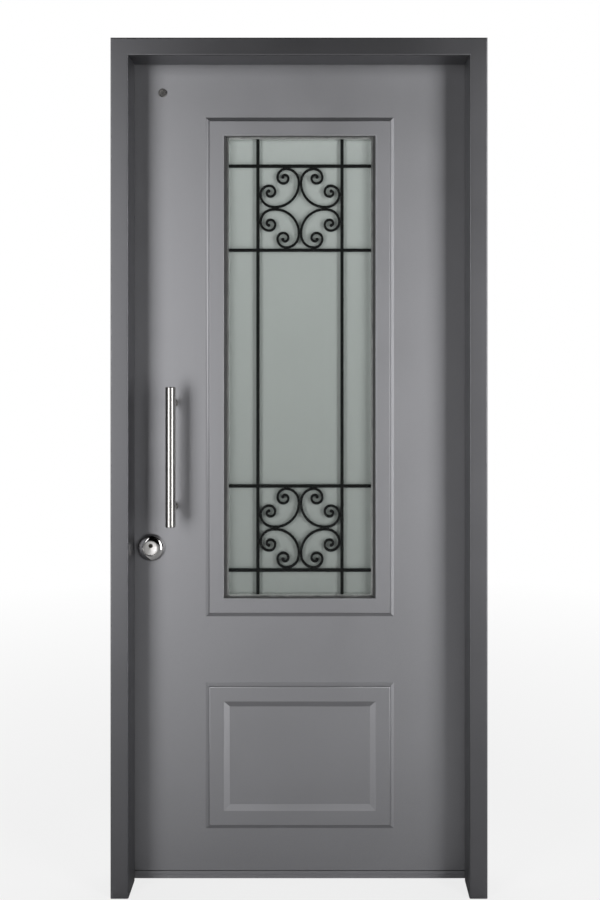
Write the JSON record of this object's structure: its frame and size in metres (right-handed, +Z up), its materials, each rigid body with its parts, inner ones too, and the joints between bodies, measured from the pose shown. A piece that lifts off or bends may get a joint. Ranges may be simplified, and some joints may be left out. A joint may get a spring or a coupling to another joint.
{
  "type": "security door",
  "caption": "Inward-opening steel security door in its pressed frame, with a tall glazed panel, iron grille, pull bar and multi-point lock.",
  "frame": {"origin": "floor level at the middle of the width and the middle of the whole depth", "axes": "+X to the right as seen from outside, +Y from outside to inside, +Z up"},
  "size_m": [0.92, 0.202, 2.1],
  "materials": {
    "frame_paint": "satin dark grey paint",
    "leaf_paint": "satin mid grey metallic paint",
    "inside_paint": "satin mid grey metallic paint",
    "zinc_steel": "zinc coated",
    "rubber": "matt black",
    "wool": "mineral wool",
    "clear_glass": "clear",
    "frosted_glass": "frosted",
    "spacer": "satin",
    "black_iron": "satin black",
    "stainless": "brushed",
    "chrome": "polished",
    "cylinder_steel": "satin nickel"
  },
  "bodies": {
    "frame": {"strike_jamb": "frame_paint", "hinge_jamb": "frame_paint", "frame_head": "frame_paint", "corner_cleats": "zinc_steel", "frame_seal": "rubber", "keep_box": "zinc_steel", "hinge_pins": "stainless", "hinge_frame_screws": "zinc_steel", "hinge_frame_half_1": "stainless", "hinge_frame_half_2": "stainless", "hinge_frame_half_3": "stainless"},
    "leaf": {"leaf_outer_skin": "leaf_paint", "leaf_inner_skin": "inside_paint", "hinge_stile": "zinc_steel", "lock_stile": "zinc_steel", "top_rail": "zinc_steel", "bottom_rail": "zinc_steel", "window_liner": "inside_paint", "wool_slabs": "wool", "dog_bolts": "stainless", "outer_pane": "clear_glass", "inner_pane": "frosted_glass", "glass_spacer": "spacer", "outer_glazing_seal": "rubber", "inner_glazing_seal": "rubber", "glazing_frame": "inside_paint", "glazing_screws": "zinc_steel", "grille_upright_left": "black_iron", "grille_upright_right": "black_iron", "grille_crossbar_1": "black_iron", "grille_crossbar_2": "black_iron", "grille_crossbar_3": "black_iron", "grille_crossbar_4": "black_iron", "upper_scrolls": "black_iron", "lower_scrolls": "black_iron", "bottom_sweep": "leaf_paint", "sweep_blade": "rubber", "blank_cap": "stainless", "pull_bar": "stainless", "pull_end_caps": "stainless", "pull_posts": "stainless", "pull_bolts": "stainless", "escutcheon": "chrome", "shield_disc": "stainless", "cylinder_body": "cylinder_steel", "faceplate": "stainless", "lock_case": "zinc_steel", "inside_plate": "stainless", "hinge_leaf_screws": "zinc_steel", "hinge_leaf_half_1": "stainless", "hinge_leaf_half_2": "stainless", "hinge_leaf_half_3": "stainless"},
    "key": {"key_plug": "cylinder_steel"},
    "thumb": {"thumb_turn": "stainless"},
    "lever": {"lever_handle": "stainless", "spindle": "zinc_steel"},
    "latch": {"latch_bolt": "stainless"},
    "bolts": {"main_bolts": "stainless", "bolt_carriage": "zinc_steel"},
    "rod": {"top_rod": "zinc_steel"}
  },
  "joints": [
    {"name": "leaf_swing", "type": "hinge", "parent": "frame", "child": "leaf", "pos_m": [0.436, 0.0515, 0], "axis": [0, 0, -1], "range_deg": [0, 100]},
    {"name": "bolt_throw", "type": "slide", "parent": "leaf", "child": "bolts", "axis": [-1, 0, 0], "range_m": [0, 0.02]},
    {"name": "key_turn", "type": "hinge", "parent": "leaf", "child": "key", "pos_m": [-0.375, 0.016, 0.844], "axis": [0, 1, 0], "range_deg": [0, 360]},
    {"name": "thumb_turning", "type": "hinge", "parent": "leaf", "child": "thumb", "pos_m": [-0.375, 0.016, 0.844], "axis": [0, 1, 0], "range_deg": [0, 360]},
    {"name": "rod_rise", "type": "slide", "parent": "leaf", "child": "rod", "axis": [0, 0, 1], "range_m": [0, 0.02]},
    {"name": "latch_slide", "type": "slide", "parent": "leaf", "child": "latch", "axis": [-1, 0, 0], "range_m": [0, 0.012]},
    {"name": "lever_turn", "type": "hinge", "parent": "leaf", "child": "lever", "pos_m": [-0.375, 0.039, 0.923], "axis": [0, 1, 0], "range_deg": [0, 45], "stiffness_Nm_per_rad": 1.2, "springref_deg": -20.05}
  ],
  "couplings": [
    {"joint": "key_turn", "follows": "bolt_throw", "rad_per_m": 314.16},
    {"joint": "thumb_turning", "follows": "bolt_throw", "rad_per_m": 314.16},
    {"joint": "rod_rise", "follows": "bolt_throw", "ratio": 1}
  ]
}
